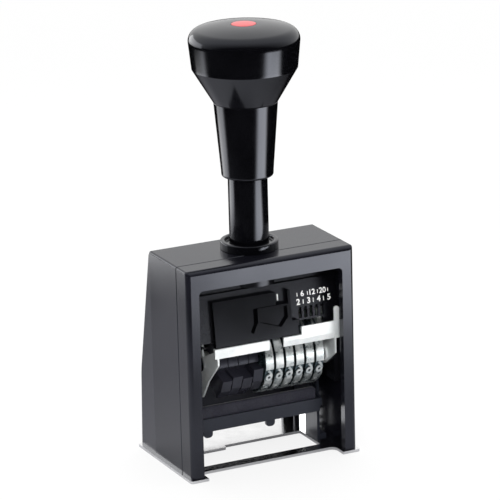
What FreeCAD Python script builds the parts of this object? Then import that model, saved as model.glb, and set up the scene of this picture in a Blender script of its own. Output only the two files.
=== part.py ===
import FreeCAD, Part
import math
import os

# Self-inking numbering machine, in millimetres.
# Every place is worked out from the front face (y = 0), the centre of the width
# (x = 0) and the surface it stands on (z = 0). The last step moves each piece so
# that the origin is the bottom centre of the whole machine.

# Wheels, which print at the end of the handle's stroke
axle_y = 21.7
axle_z = 44.2
axle_r = 2.0
axle_head_r = 3.2
axle_head_t = 0.5
running_gap = 0.05
wheel_r = 16.3
wheel_pitch = 4.8
wheel_count = 6
first_wheel_x = 1.1
rim_w = 3.6
rim_depth = 3.4
web_t = 1.6
hub_r = 5.0
ratchet_w = 0.8
ratchet_r = 12.6
ratchet_depth = 1.3
digit_count = 10
digit_depth = 0.7
digit_height = 5.5
plain_place = 3
side_gap = 0.25
print_gap = 0.2
stroke = axle_z - wheel_r - print_gap

# Blank spacers beside the wheels, keyed so that they stay still
blank_count = 4
blank_w = 4.4
blank_core_r = 10.9
blank_land_r = 15.8
blank_land_turn = 44.0
blank_land_starts = (4.5, 16.5, 11.5, 16.5)
blank_recess_start = -2.0
blank_recess = 2.6
key_r = 1.0
key_drop = 7.0
spacer_r = 5.0
spacer_w = 2.0
sheet_t = 0.8
first_blank_right = first_wheel_x - rim_w / 2 - ratchet_w - side_gap
last_blank_left = first_blank_right - (blank_count - 1) * wheel_pitch - blank_w
left_plate_x = last_blank_left - spacer_w - sheet_t
bearing_x = first_wheel_x + (wheel_count - 1) * wheel_pitch + rim_w / 2 + side_gap + running_gap

# Ink tray, pad and the brackets that carry them
tray_side_gap = 0.4
tray_half_w = bearing_x + sheet_t + tray_side_gap
tray_pivot_back = 15.0
tray_pivot_drop = 16.4
tray_pivot_y = axle_y + tray_pivot_back
tray_pivot_z = axle_z - tray_pivot_drop
tray_front_reach = 8.5
tray_front = axle_y - tray_front_reach
tray_depth = 12.6
tray_drop = 28.0
tray_bottom = axle_z - tray_drop
tray_h = 5.8
tray_wall = 1.2
tray_arm_t = 1.0
tray_arm_h = 5.0
tray_eye_r = 3.2
tray_lug_w = 4.2
tray_lug_back = 1.4
tray_lug_drop = 3.2
tray_lug_t = 1.4
tray_lug_round = 1.6
tray_lug_xs = (-24.4, 5.2)
pad_under_wheel = 0.9
pad_top = axle_z - wheel_r - pad_under_wheel
pad_crest_reach = 4.5
pad_dip_reach = 1.5
pad_dip = 1.8
pad_rear_drop = 3.2
pad_gap = 0.1
pivot_r = 1.5
bracket_gap = 0.3
bracket_t = 1.2
bracket_inner_x = tray_half_w + tray_arm_t + bracket_gap
bracket_outer_x = bracket_inner_x + bracket_t
bracket_set_back = 5.5
bracket_front = tray_front + bracket_set_back
bracket_rear_margin = 3.5
bracket_rear = tray_pivot_y + bracket_rear_margin
bracket_top_margin = 5.2
bracket_top = tray_pivot_z + bracket_top_margin
bracket_chamfer = 2.0
bracket_cutout_back = 8.1
bracket_cutout_front = axle_y + bracket_cutout_back
bracket_cutout_h = 12.8
bracket_foot_w = 4.2

# Base plate
base_t = 1.2
base_overhang = 1.1
base_corner = 1.2
recess_margin = 1.6
recess_depth = 7.0
recess_round = 3.0
print_margin = 0.4
print_reach = 9.0
print_front = axle_y - print_reach
print_depth = 19.5
print_step = 2.6
print_step_x = -9.0
print_round = 1.0
ear_t = 0.8
ear_set_back = 0.8
ear_front = bracket_cutout_front + ear_set_back
ear_depth = 7.6
ear_h = 14.5

# Sheet-metal wheel frame
plate_ear_gap = 0.5
right_plate_x = bracket_outer_x + ear_t + plate_ear_gap
bar_rise = 6.6
bar_bottom = axle_z + bar_rise
bar_h = 4.2
bar_top = bar_bottom + bar_h
bar_gap = 0.45
bar_front = axle_y - math.sqrt(wheel_r ** 2 - bar_rise ** 2) - bar_gap - sheet_t
bar_step_h = 3.6
bar_bevel_h = 2.6
bar_bevel_share = 0.6
bar_overlap = 1.05
bar_left_end = left_plate_x - bar_overlap
bar_notch_start = 0.1
bar_notch_left = first_wheel_x + bar_notch_start
bar_notch_w = 6.8
bar_notch_right = bar_notch_left + bar_notch_w
bar_low_w = 8.6
bar_step_x = bar_notch_right + bar_low_w
arm_w = 2.4
arm_h = 10.0
arm_round = 1.1
plate_waist = 6.3
plate_neck_drop = 0.7
plate_reach = 15.2
plate_tail = 11.5
plate_rear = axle_y + plate_tail
eyelet_reach = 6.1
eyelet_drop = 2.6
eyelet_y = axle_y - eyelet_reach
eyelet_z = axle_z - eyelet_drop
eyelet_r = 3.4
eyelet_hole_r = 2.3
eyelet_t = 1.0
flange_w = 7.5
cutout_round = 0.8

# Face of the selector, which leans back about its foot
lean_deg = 7.6
lean = math.radians(lean_deg)
lean_gap = 0.45
lean_y = bar_front + sheet_t + lean_gap
lean_z = bar_top
indicator_h = 22.9
selector_gap = 0.3
boss_bottom = lean_z + indicator_h * math.cos(lean) + selector_gap

# Carriage, the plastic yoke that carries the wheel frame
carriage_over_wheel = 3.7
carriage_bottom = axle_z + wheel_r + carriage_over_wheel
boss_seat = 2.0
carriage_top = boss_bottom + boss_seat
carriage_tail = 10.5
carriage_rear = axle_y + carriage_tail
carriage_gap = 0.3
carriage_wall = 2.5
carriage_floor = 3.0
boss_r = 10.6
boss_floor = 1.0
cheek_w = 3.4
cheek_foot_gap = 1.7
cheek_bottom = base_t + stroke + cheek_foot_gap
cheek_reach = 1.9
cheek_rear = axle_y - cheek_reach
cheek_knee_drop = 7.2
cheek_knee = carriage_bottom - cheek_knee_drop
cheek_step_drop = 1.6
cheek_step = lean_z - cheek_step_drop
cheek_set_back = 1.0
cheek_front = lean_y + cheek_set_back
stop_gap = 0.3
spring_lug_t = 3.0
spring_lug_depth = 5.0
spring_lug_w = 5.0

# Housing, whose room follows from the carriage inside
side_wall = 2.5
inner_half_w = right_plate_x + sheet_t + cheek_w + carriage_gap
half_w = inner_half_w + side_wall
top_wall = 3.0
head_room = 9.7
ceiling = carriage_top + head_room
housing_top = ceiling + top_wall
front_depth = 10.2
body_tail = 5.0
body_depth = carriage_rear + body_tail
rim_round = 2.0
side_round = 1.0
seam_chamfer = 0.35
lip_w = 3.1
lip_depth = 3.4
window_half_w = inner_half_w - lip_w
beam_h = 9.0
window_top = housing_top - beam_h
window_round = 2.0
bar_end_gap = 0.9
bar_right_end = inner_half_w - bar_end_gap

# Rear cover, which bulges out to make room for the ink tray when it hangs down
cover_wall = 1.8
cover_inset = 0.15
cover_top_drop = 1.6
cover_top_depth = 1.4
cover_edge = 0.4
cover_room = 2.2
cover_foot_y = tray_pivot_y + tray_pivot_z - tray_bottom + cover_room + cover_wall
cover_knee_rise = 8.2
cover_knee_z = tray_pivot_z + cover_knee_rise
cover_slope = 1.8
cover_knee_y = cover_foot_y - cover_slope
cover_round = 1.0
cover_knee_reach = 3.0
cover_tongue_margin = 7.5
cover_tongue_depth = 3.0
cover_tongue_t = 1.0
cover_boss_r = 2.6
cover_boss_h = 9.0
rear_opening_margin = 0.6
rear_opening_h = 9.5

# Indicator plate and repeat selector
indicator_t = 1.2
indicator_left_margin = 4.7
indicator_right_margin = 3.5
indicator_left = indicator_left_margin - inner_half_w
indicator_right = inner_half_w - indicator_right_margin
indicator_bottom = 2.4
indicator_round = 3.0
slot_count = 5
slot_pitch = 2.6
slot_w = 1.6
slot_margin = 14.9
slot_first_x = indicator_right - slot_margin
slot_bottom = 6.3
slot_h = 4.9
notch_margin = 4.3
notch_w = 14.9
notch_right = indicator_right - notch_margin
notch_left = notch_right - notch_w
notch_top = 5.5
pointer_margin = 5.7
pointer_x = indicator_right - pointer_margin
pointer_w = 1.8
pointer_h = 6.2
pointer_t = 0.5
pointer_bottom = 2.6
selector_t = 2.0
selector_margin = 20.1
selector_right = indicator_right - selector_margin
selector_w = 36.3
selector_left = selector_right - selector_w
selector_foot_w = 3.3
selector_foot_h = 6.4
selector_h = 19.8
selector_window_margin = 1.2
selector_window_w = 5.8
selector_window_bottom = 14.4
tab_margin = 1.3
tab_w = 14.8
tab_right = selector_right - tab_margin
tab_left = tab_right - tab_w
pocket_gap = 0.2
pocket_w = 7.2
pocket_right = tab_left - pocket_gap
pocket_left = pocket_right - pocket_w
pocket_bottom = 3.4
pocket_shoulder = 7.6
pocket_top = 14.2
pocket_depth = 1.6
pocket_point_share = 0.72
tab_wall = 0.8
tab_floor = 0.5
tab_proud = 0.55

# Handle, on one upright axis
handle_y = 20.3
stem_r = 8.4
stem_wall = 1.4
stem_bottom = boss_bottom + boss_floor
collar_r = 12.4
collar_h = 3.7
collar_spigot_r = 9.6
collar_recess_r = 10.4
collar_recess = 1.5
collar_round = 0.5
collar_nut_r = 12.0
collar_nut_t = 2.4
sliding_gap = 0.06
grip_gap = 0.3
grip_bottom = housing_top + collar_h + stroke + grip_gap
grip_h = 32.2
grip_top = grip_bottom + grip_h
grip_bottom_r = 11.1
grip_top_r = 13.7
grip_bottom_round = 2.5
stem_in_grip = 11.6
stem_top = grip_bottom + stem_in_grip
knob_cone_r = 22.3
knob_rim_r = 23.5
knob_crown_r = 19.5
knob_cone_h = 14.5
knob_band_h = 11.7
knob_shoulder_h = 5.0
knob_crown_h = 1.9
knob_edge_share = 0.72
knob_rise_share = 0.64
knob_dome_share = 0.7
insert_r = 5.2
insert_t = 1.6
insert_dome = 0.3
rod_r = 3.0
rod_nut_r = 5.2
rod_nut_t = 4.0
rod_head_room = 8.0
knob_rim_z = grip_top + knob_cone_h + knob_band_h
crown_top = knob_rim_z + knob_shoulder_h + knob_crown_h
knob_top = crown_top + insert_dome

# Index comb, advance pawl and their shaft
finger_w = 0.7
comb_t = 0.6
comb_depth = 7.0
comb_finger_depth = 2.4
tooth_gap = 0.3
pawl_shaft_back = 13.5
pawl_shaft_rise = 14.4
pawl_shaft_y = axle_y + pawl_shaft_back
pawl_shaft_z = axle_z + pawl_shaft_rise
pawl_shaft_r = 1.25
pawl_sleeve_r = 2.3
pawl_finger_h = 2.2
pawl_tip_angle = 37.0
plate_ear_r = 2.9

# Return springs
spring_wire = 0.6
spring_mean_r = 1.5
spring_turns = 15
spring_wall_gap = 0.3
spring_back = 2.4
spring_x = inner_half_w - spring_wall_gap - spring_mean_r - spring_wire / 2
spring_y = carriage_rear + spring_back

# Screws
screw_r = 1.2
screw_head_r = 2.2
screw_l = 7.0
frame_screw_r = 1.0
frame_screw_head_r = 1.9
frame_screw_head_h = 0.9
frame_screw_l = 3.4

# One overrun serves all cuts
over = 1.0

machine_front = min(handle_y - knob_rim_r, -base_overhang)
machine_rear = cover_foot_y + base_overhang
centre_y = (machine_front + machine_rear) / 2

X_AXIS = FreeCAD.Vector(1, 0, 0)
Z_AXIS = FreeCAD.Vector(0, 0, 1)


def at(x, y, z):
    return FreeCAD.Vector(x, y, z)


def box(x0, x1, y0, y1, z0, z1):
    return Part.makeBox(x1 - x0, y1 - y0, z1 - z0, at(x0, y0, z0))


def upright(radius, z0, z1, x=0, y=handle_y):
    return Part.makeCylinder(radius, z1 - z0, at(x, y, z0), Z_AXIS)


def across(radius, x0, x1, y=axle_y, z=axle_z):
    return Part.makeCylinder(radius, x1 - x0, at(x0, y, z), X_AXIS)


def slab(outline, x0, x1):
    """A plate across the width, from its outline of (y, z) points."""
    points = [at(x0, y, z) for y, z in outline]
    face = Part.Face(Part.makePolygon(points + points[:1]))
    return face.extrude(at(x1 - x0, 0, 0))


def turned(profile, y=handle_y):
    """A solid of revolution about the handle's axis, from (radius, z) points."""
    points = [at(radius, y, z) for radius, z in profile]
    face = Part.Face(Part.makePolygon(points + points[:1]))
    return face.revolve(at(0, y, 0), Z_AXIS, 360)


def rounded(shape, radius, chosen):
    """Fillet the edges that the test picks."""
    edges = [edge for edge in shape.Edges if chosen(edge)]
    return shape.makeFillet(radius, edges) if edges else shape


def runs_along(edge, axis):
    line = edge.Vertexes[-1].Point - edge.Vertexes[0].Point
    if line.Length < running_gap:
        return False
    return abs(line.normalize().dot(axis)) > math.cos(lean / 2)


def leaning(shape):
    """Lean a shape back about the foot of the selector's face."""
    shape.rotate(at(0, lean_y, lean_z), X_AXIS, -lean_deg)
    return shape


def lean_line(z, behind):
    """The y of a plane behind the leaning face, at height z."""
    return lean_y + behind / math.cos(lean) + (z - lean_z) * math.tan(lean)


def save(name, shape):
    """Write one piece, in the row's own frame."""
    solids = shape.Solids
    piece = solids[0] if len(solids) == 1 else Part.makeCompound(solids)
    piece.translate(at(0, -centre_y, 0))
    piece.exportStep("parts/" + name + ".step")


def stem_hole():
    return upright(collar_spigot_r, window_top, housing_top + over)


def front_frame():
    block = box(-half_w, half_w, 0, front_depth, base_t, housing_top)
    block = rounded(block, rim_round, on_front_rim)
    block = rounded(block, side_round, on_top_side)
    opening = box(-window_half_w, window_half_w, -over, front_depth + over, 0, window_top)
    opening = rounded(opening, window_round, lambda edge: is_window_corner(edge))
    room = box(-inner_half_w, inner_half_w, lip_depth, front_depth + over, 0, ceiling)
    frame = block.cut(opening).cut(room).cut(stem_hole())
    for side in (-1, 1):
        frame = frame.cut(leg_screw(side, running_gap))
    return chamfered_at(frame, front_depth)


def on_front_rim(edge):
    middle = edge.BoundBox.Center
    front = edge.BoundBox.YMax < front_depth / 2
    outer = abs(abs(middle.x) - half_w) < over or abs(middle.z - housing_top) < over
    return front and outer and edge.BoundBox.ZMax > front_depth


def on_top_side(edge):
    """The straight edges along the depth, at both sides of the top."""
    middle = edge.BoundBox.Center
    outer = abs(abs(middle.x) - half_w) < over and abs(middle.z - housing_top) < over
    return outer and runs_along(edge, at(0, 1, 0))


def is_window_corner(edge):
    middle = edge.BoundBox.Center
    long_enough = edge.BoundBox.YLength > front_depth
    return long_enough and abs(middle.z - window_top) < over


def chamfered_at(shape, y):
    """Break the side edges where two shells meet, so that a fine groove shows."""
    def outer(edge):
        bounds = edge.BoundBox
        flat = abs(bounds.YMin - y) < running_gap and abs(bounds.YMax - y) < running_gap
        at_side = bounds.XLength < running_gap and abs(bounds.XMin) > half_w - running_gap
        return flat and at_side and edge.Length > front_depth
    return shape.makeChamfer(seam_chamfer, [edge for edge in shape.Edges if outer(edge)])


def rear_housing():
    block = box(-half_w, half_w, front_depth, body_depth, base_t, housing_top)
    block = rounded(block, side_round, on_top_side)
    room = box(-inner_half_w, inner_half_w, front_depth - over, body_depth + over, 0, ceiling)
    shell = block.cut(room).cut(stem_hole())
    shell = chamfered_at(shell, front_depth)
    return chamfered_at(shell, body_depth)


def cover_block(inset, z0, reach):
    """The rear cover as a block with a rounded knee, moved in by a wall thickness."""
    run = cover_knee_y - body_depth - cover_top_depth
    fall = housing_top - cover_top_drop - cover_knee_z
    slope_inset = inset * math.hypot(run, fall) / fall
    knee_y = cover_knee_y - slope_inset
    highest = cover_knee_z + (knee_y - body_depth - cover_edge) * fall / run
    top = min(housing_top - cover_top_drop - inset, highest)
    front_low = at(-reach, body_depth, z0)
    front_high = at(-reach, body_depth, top)
    rear_high = at(-reach, knee_y - run * (top - cover_knee_z) / fall, top)
    knee = at(-reach, knee_y, cover_knee_z - inset)
    foot = at(-reach, cover_foot_y - inset, z0)
    above = knee + (rear_high - knee).normalize() * cover_knee_reach
    below = knee + (foot - knee).normalize() * cover_knee_reach
    edges = [Part.makeLine(front_low, front_high), Part.makeLine(front_high, rear_high),
             Part.makeLine(rear_high, above), one_arc(above, knee, below),
             Part.makeLine(below, foot), Part.makeLine(foot, front_low)]
    return Part.Face(Part.Wire(edges)).extrude(at(reach * 2, 0, 0))


def rear_cover():
    reach = half_w - cover_inset
    outer = cover_block(0, base_t, reach)

    def rear_rim(edge):
        middle = edge.BoundBox.Center
        sideways = abs(abs(middle.x) - reach) < over
        return sideways and edge.BoundBox.YMax > body_depth + over and middle.z > base_t + over
    outer = rounded(outer, cover_round, rear_rim)
    inner_reach = reach - cover_wall
    inner = cover_block(cover_wall, 0, inner_reach)
    inner = inner.fuse(box(-inner_reach, inner_reach, body_depth - over, body_depth, 0,
                           housing_top - cover_top_drop - cover_wall))
    shell = outer.cut(inner)
    opening_half_w = tray_half_w + rear_opening_margin
    opening = box(-opening_half_w, opening_half_w, body_depth, cover_foot_y + over,
                  0, base_t + rear_opening_h)
    shell = shell.cut(opening)
    tongue_half_w = inner_half_w - cover_tongue_margin
    tongue = box(-tongue_half_w, tongue_half_w, body_depth - cover_tongue_depth,
                 body_depth + cover_edge, ceiling - cover_tongue_t, ceiling)
    shell = shell.fuse(tongue)
    for side in (-1, 1):
        x, y = cover_screw_place(side)
        boss = upright(cover_boss_r, base_t, base_t + cover_boss_h, x, y)
        foot = box(min(x, side * inner_reach), max(x, side * inner_reach), y - cover_wall / 2,
                   y + cover_wall / 2, base_t, base_t + cover_boss_h)
        shell = shell.fuse(boss).fuse(foot).cut(base_screw(x, y, running_gap))
    return shell


def cover_screw_place(side):
    x = side * (half_w - cover_inset - cover_wall - cover_boss_r - side_gap)
    y = cover_foot_y - cover_slope - cover_wall - cover_boss_r - side_gap
    return x, y


def base_screw(x, y, gap=0):
    """A countersunk screw from below, whose head lies flush in the base plate."""
    head = Part.makeCone(screw_head_r + gap, screw_r + gap, base_t, at(x, y, 0), Z_AXIS)
    return head.fuse(upright(screw_r + gap, base_t - gap, screw_l, x, y))


def leg_screw(side, gap=0):
    x = side * (window_half_w + half_w) / 2
    return base_screw(x, lip_depth / 2, gap)


def base_screws():
    screws = [leg_screw(side) for side in (-1, 1)]
    screws += [base_screw(*cover_screw_place(side)) for side in (-1, 1)]
    return Part.makeCompound(screws)


def base_plate():
    reach = half_w + base_overhang
    plate = box(-reach, reach, -base_overhang, machine_rear, 0, base_t)
    plate = rounded(plate, base_corner, lambda edge: runs_along(edge, Z_AXIS))
    recess_half_w = window_half_w - recess_margin
    recess = box(-recess_half_w, recess_half_w, -base_overhang - over, recess_depth, -over,
                 base_t + over)
    recess = rounded(recess, recess_round, lambda edge: runs_along(edge, Z_AXIS)
                     and edge.BoundBox.YMin > 0)
    print_half_w = tray_half_w - print_margin
    print_rear = print_front + print_depth
    window = box(-print_half_w, print_half_w, print_front, print_rear - print_step, -over,
                 base_t + over)
    window = window.fuse(box(print_step_x, print_half_w, print_front, print_rear, -over,
                             base_t + over)).removeSplitter()
    window = rounded(window, print_round, lambda edge: runs_along(edge, Z_AXIS))
    plate = plate.cut(recess).cut(window)
    for side in (-1, 1):
        inner = side * bracket_outer_x
        outer = inner + side * ear_t
        ear = box(min(inner, outer), max(inner, outer), ear_front, ear_front + ear_depth, 0,
                  base_t + ear_h)
        plate = plate.fuse(ear)
        plate = plate.cut(leg_screw(side, running_gap))
        plate = plate.cut(base_screw(*cover_screw_place(side), running_gap))
    return plate


def guide_collar():
    top = housing_top + collar_h
    ring = turned([(stem_r + sliding_gap, ceiling), (collar_spigot_r, ceiling),
                   (collar_spigot_r, housing_top), (collar_r, housing_top),
                   (collar_r, top - collar_round), (collar_r - collar_round, top),
                   (collar_recess_r, top), (collar_recess_r, top - collar_recess),
                   (stem_r + sliding_gap, top - collar_recess)])
    return ring


def collar_nut():
    ring = upright(collar_nut_r, ceiling - collar_nut_t, ceiling)
    return ring.cut(upright(collar_spigot_r, ceiling - collar_nut_t - over, ceiling + over))


def stem_tube():
    tube = upright(stem_r, stem_bottom, stem_top)
    return tube.cut(upright(stem_r - stem_wall, stem_bottom - over, stem_top + over))


def grip_sleeve():
    low = grip_bottom + grip_bottom_round
    arc_share = 1 - math.sqrt(1 / 2)
    foot = [at(grip_bottom_r - grip_bottom_round, handle_y, grip_bottom),
            at(grip_bottom_r - grip_bottom_round * arc_share, handle_y,
               grip_bottom + grip_bottom_round * arc_share),
            at(grip_bottom_r, handle_y, low)]
    arc = Part.Arc(*foot).toShape()
    side = [foot[-1], at(grip_top_r, handle_y, grip_top), at(rod_r, handle_y, grip_top),
            at(rod_r, handle_y, stem_top), at(stem_r, handle_y, stem_top),
            at(stem_r, handle_y, grip_bottom), foot[0]]
    edges = [arc] + [Part.makeLine(a, b) for a, b in zip(side, side[1:])]
    return Part.Face(Part.Wire(edges)).revolve(at(0, handle_y, 0), Z_AXIS, 360)


def knob_head():
    shoulder_z = knob_rim_z + knob_shoulder_h
    rod_top = grip_top + rod_head_room
    rim = at(knob_rim_r, handle_y, knob_rim_z)
    shoulder = at(knob_crown_r, handle_y, shoulder_z)
    inner = at(insert_r, handle_y, crown_top)
    corner = at(knob_crown_r + (knob_rim_r - knob_crown_r) * knob_edge_share, handle_y,
                knob_rim_z + knob_shoulder_h * knob_rise_share)
    crest = at((knob_crown_r + insert_r) / 2, handle_y, shoulder_z + knob_crown_h * knob_dome_share)
    edge_arc = Part.Arc(rim, corner, shoulder).toShape()
    dome_arc = Part.Arc(shoulder, crest, inner).toShape()
    points = [inner, at(insert_r, handle_y, crown_top - insert_t),
              at(0, handle_y, crown_top - insert_t), at(0, handle_y, rod_top),
              at(rod_r, handle_y, rod_top), at(rod_r, handle_y, grip_top),
              at(grip_top_r, handle_y, grip_top),
              at(knob_cone_r, handle_y, grip_top + knob_cone_h), rim]
    edges = [edge_arc, dome_arc] + [Part.makeLine(a, b) for a, b in zip(points, points[1:])]
    return Part.Face(Part.Wire(edges)).revolve(at(0, handle_y, 0), Z_AXIS, 360)


def knob_insert():
    dome_r = (insert_r ** 2 + insert_dome ** 2) / (2 * insert_dome)
    disc = upright(insert_r, crown_top - insert_t, knob_top)
    return disc.common(Part.makeSphere(dome_r, at(0, handle_y, knob_top - dome_r)))


def tie_rod():
    return upright(rod_r, carriage_bottom, grip_top + rod_head_room)


def rod_nut():
    ring = upright(rod_nut_r, stem_bottom, stem_bottom + rod_nut_t)
    return ring.cut(upright(rod_r, stem_bottom - over, stem_bottom + rod_nut_t + over))


def wheel_x(index):
    return first_wheel_x + index * wheel_pitch


def blank_right(index):
    return first_blank_right - index * wheel_pitch


def saw_ring(radius, depth, x0, x1):
    """A ratchet ring of saw teeth, one to each digit."""
    points = []
    step = 2 * math.pi / digit_count
    for tooth in range(digit_count):
        start = tooth * step
        for reach, angle in ((radius, start), (radius - depth, start)):
            points.append((axle_y + reach * math.cos(angle), axle_z + reach * math.sin(angle)))
    return slab(points, x0, x1)


def digit_angle(place):
    """Angle below the front of the wheel, so that one digit faces straight down."""
    return math.pi / 2 - place * 2 * math.pi / digit_count


def number_wheel(index):
    x = wheel_x(index)
    left = x - rim_w / 2
    right = x + rim_w / 2
    wheel = across(wheel_r, left, right)
    for x0, x1 in ((left - over, x - web_t / 2), (x + web_t / 2, right + over)):
        hollow = across(wheel_r - rim_depth, x0, x1).cut(across(hub_r, x0, x1))
        wheel = wheel.cut(hollow)
    wheel = wheel.fuse(saw_ring(ratchet_r, ratchet_depth, left - ratchet_w, x - web_t / 2))
    floor = wheel_r - digit_depth
    for place in range(digit_count):
        if place == plain_place:
            continue
        pocket = box(left - over, right + over, axle_y - wheel_r - over, axle_y - floor,
                     axle_z - digit_height / 2, axle_z + digit_height / 2)
        pocket.rotate(at(0, axle_y, axle_z), X_AXIS, math.degrees(digit_angle(place)))
        wheel = wheel.cut(pocket)
    return wheel.cut(across(axle_r + running_gap, left - ratchet_w - over, right + over))


def blank_disc(index):
    right = blank_right(index)
    left = right - blank_w
    disc = across(blank_core_r, left, right)
    start = blank_land_starts[index]
    recess = wedge(blank_recess_start, start, blank_core_r + over, left - over, right + over)
    recess = recess.cut(across(blank_core_r - blank_recess, left - over, right + over))
    disc = disc.cut(recess)
    disc = disc.fuse(wedge(start, start + blank_land_turn, blank_land_r, left, right))
    disc = disc.cut(across(axle_r, left - over, right + over))
    return disc.cut(key_bar(left - over, right + over))


def wedge(low, high, reach, x0, x1):
    """A sector of two flats about the axle, between two angles below the front."""
    outline = [(axle_y, axle_z)]
    for degrees in (low, (low + high) / 2, high):
        angle = math.radians(degrees)
        outline.append((axle_y - reach * math.cos(angle), axle_z - reach * math.sin(angle)))
    return slab(outline, x0, x1)


def key_bar(x0, x1):
    return across(key_r, x0, x1, axle_y, axle_z + key_drop)


def key_rod():
    return key_bar(left_plate_x, blank_right(0))


def wheel_axle():
    left = left_plate_x
    right = bearing_x + sheet_t
    return across(axle_r, left, right).fuse(across(axle_head_r, left - axle_head_t, left))


def axle_spacer():
    left = left_plate_x + sheet_t
    ring = across(spacer_r, left, left + spacer_w)
    return ring.cut(across(axle_r, left - over, left + spacer_w + over))


def face_depth():
    """How far the carriage's face lies behind the selector's."""
    return selector_t + selector_gap + indicator_t


def plate_front(edge_z):
    """A side plate's front edge, which passes under and behind the selector."""
    neck = bar_top - plate_neck_drop
    behind = face_depth() + side_gap
    return [(lean_line(carriage_bottom, behind), carriage_bottom),
            (lean_line(neck, behind), neck), (bar_front, neck), (bar_front, edge_z)]


def front_bar(x0, x1, z1):
    return box(x0, x1, bar_front, bar_front + sheet_t, bar_bottom, z1)


def plate_screw_y():
    return (axle_y + plate_rear) / 2


def left_frame_plate():
    x = left_plate_x
    outline = plate_front(bar_bottom - plate_waist / 2)
    outline += [(axle_y - plate_waist, axle_z - plate_waist),
                (axle_y, axle_z - plate_reach), (axle_y + plate_waist, axle_z - plate_reach),
                (plate_rear, axle_z - plate_waist), (pawl_shaft_y + plate_ear_r, pawl_shaft_z),
                (pawl_shaft_y + plate_ear_r, carriage_bottom)]
    plate = slab(outline, x, x + sheet_t)
    mid = (bar_top + bar_bottom) / 2
    cutout = [(bar_front + plate_waist / 2, mid), (axle_y - sheet_t, axle_z + plate_waist / 2),
              (axle_y - sheet_t, carriage_bottom - plate_waist / 2),
              (bar_front + plate_waist + sheet_t * 2, carriage_bottom - plate_waist / 2)]
    hole = rounded(slab(cutout, x - over, x + sheet_t + over), cutout_round,
                   lambda edge: edge.BoundBox.XLength > over)
    plate = plate.cut(hole).fuse(front_bar(bar_left_end, bar_notch_left, bar_top))
    plate = plate.fuse(box(min(x, bar_left_end), x + sheet_t, bar_front, bar_front + sheet_t,
                           bar_bottom, bar_top))
    plate = plate.fuse(box(x - flange_w, x + sheet_t, axle_y, plate_rear,
                           carriage_bottom - sheet_t, carriage_bottom))
    plate = plate.cut(frame_screw(x - flange_w / 2, plate_screw_y(), running_gap))
    plate = plate.cut(across(axle_r, x - over, x + sheet_t + over))
    plate = plate.cut(key_bar(x - over, x + sheet_t + over))
    return plate.cut(pawl_bar(x - over, x + sheet_t + over))


def right_frame_plate():
    x = right_plate_x
    outline = plate_front(axle_z)
    outline += [(axle_y - plate_waist, axle_z - plate_waist - eyelet_t),
                (axle_y, axle_z - plate_waist - eyelet_t),
                (carriage_rear, axle_z + plate_waist), (carriage_rear, carriage_bottom)]
    plate = slab(outline, x, x + sheet_t)
    plate = plate.fuse(front_bar(bar_notch_right, bar_step_x, bar_top))
    plate = plate.fuse(front_bar(bar_step_x, bar_right_end, bar_top + bar_step_h))
    bevel = [(bar_front - over, bar_bottom - over), (bar_front - over, bar_bottom + bar_bevel_h),
             (bar_front, bar_bottom + bar_bevel_h),
             (bar_front + sheet_t * bar_bevel_share, bar_bottom),
             (bar_front + sheet_t * bar_bevel_share, bar_bottom - over)]
    plate = plate.cut(slab(bevel, bar_notch_right - over, x))
    plate = plate.cut(slab(bevel, x + sheet_t, bar_right_end + over))
    arm_top = bar_top + arm_h
    arm = front_bar(x, x + arm_w, arm_top)
    arm = rounded(arm, arm_round, lambda edge: edge.BoundBox.YLength > 0
                  and edge.BoundBox.ZMin > arm_top - running_gap
                  and edge.BoundBox.XLength < running_gap)
    plate = plate.fuse(arm)
    plate = plate.fuse(across(eyelet_r, x - eyelet_t, x, eyelet_y, eyelet_z))
    plate = plate.cut(across(eyelet_hole_r, x - eyelet_t - over, x + sheet_t + over, eyelet_y,
                             eyelet_z))
    return plate


def bearing_plate():
    x = bearing_x
    outline = [(axle_y - plate_waist, carriage_bottom), (axle_y - plate_waist, axle_z),
               (axle_y - plate_waist / 2, axle_z - plate_waist),
               (axle_y + plate_waist / 2, axle_z - plate_waist),
               (axle_y + plate_waist, axle_z), (pawl_shaft_y + plate_ear_r, pawl_shaft_z),
               (pawl_shaft_y + plate_ear_r, carriage_bottom)]
    plate = slab(outline, x, x + sheet_t)
    flange = box(x, right_plate_x, axle_y, plate_rear, carriage_bottom - sheet_t,
                 carriage_bottom)
    plate = plate.fuse(flange)
    plate = plate.cut(frame_screw(bearing_screw_x(), plate_screw_y(), running_gap))
    plate = plate.cut(across(axle_r, x - over, x + sheet_t + over))
    return plate.cut(pawl_bar(x - over, x + sheet_t + over))


def bearing_screw_x():
    return (bearing_x + sheet_t + right_plate_x) / 2


def frame_screw(x, y, gap=0):
    top = carriage_bottom - sheet_t
    head = upright(frame_screw_head_r + gap, top - frame_screw_head_h, top, x, y)
    return head.fuse(upright(frame_screw_r + gap, top, top + frame_screw_l, x, y))


def frame_screws():
    xs = (left_plate_x - flange_w / 2, bearing_screw_x())
    return Part.makeCompound([frame_screw(x, plate_screw_y()) for x in xs])


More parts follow.
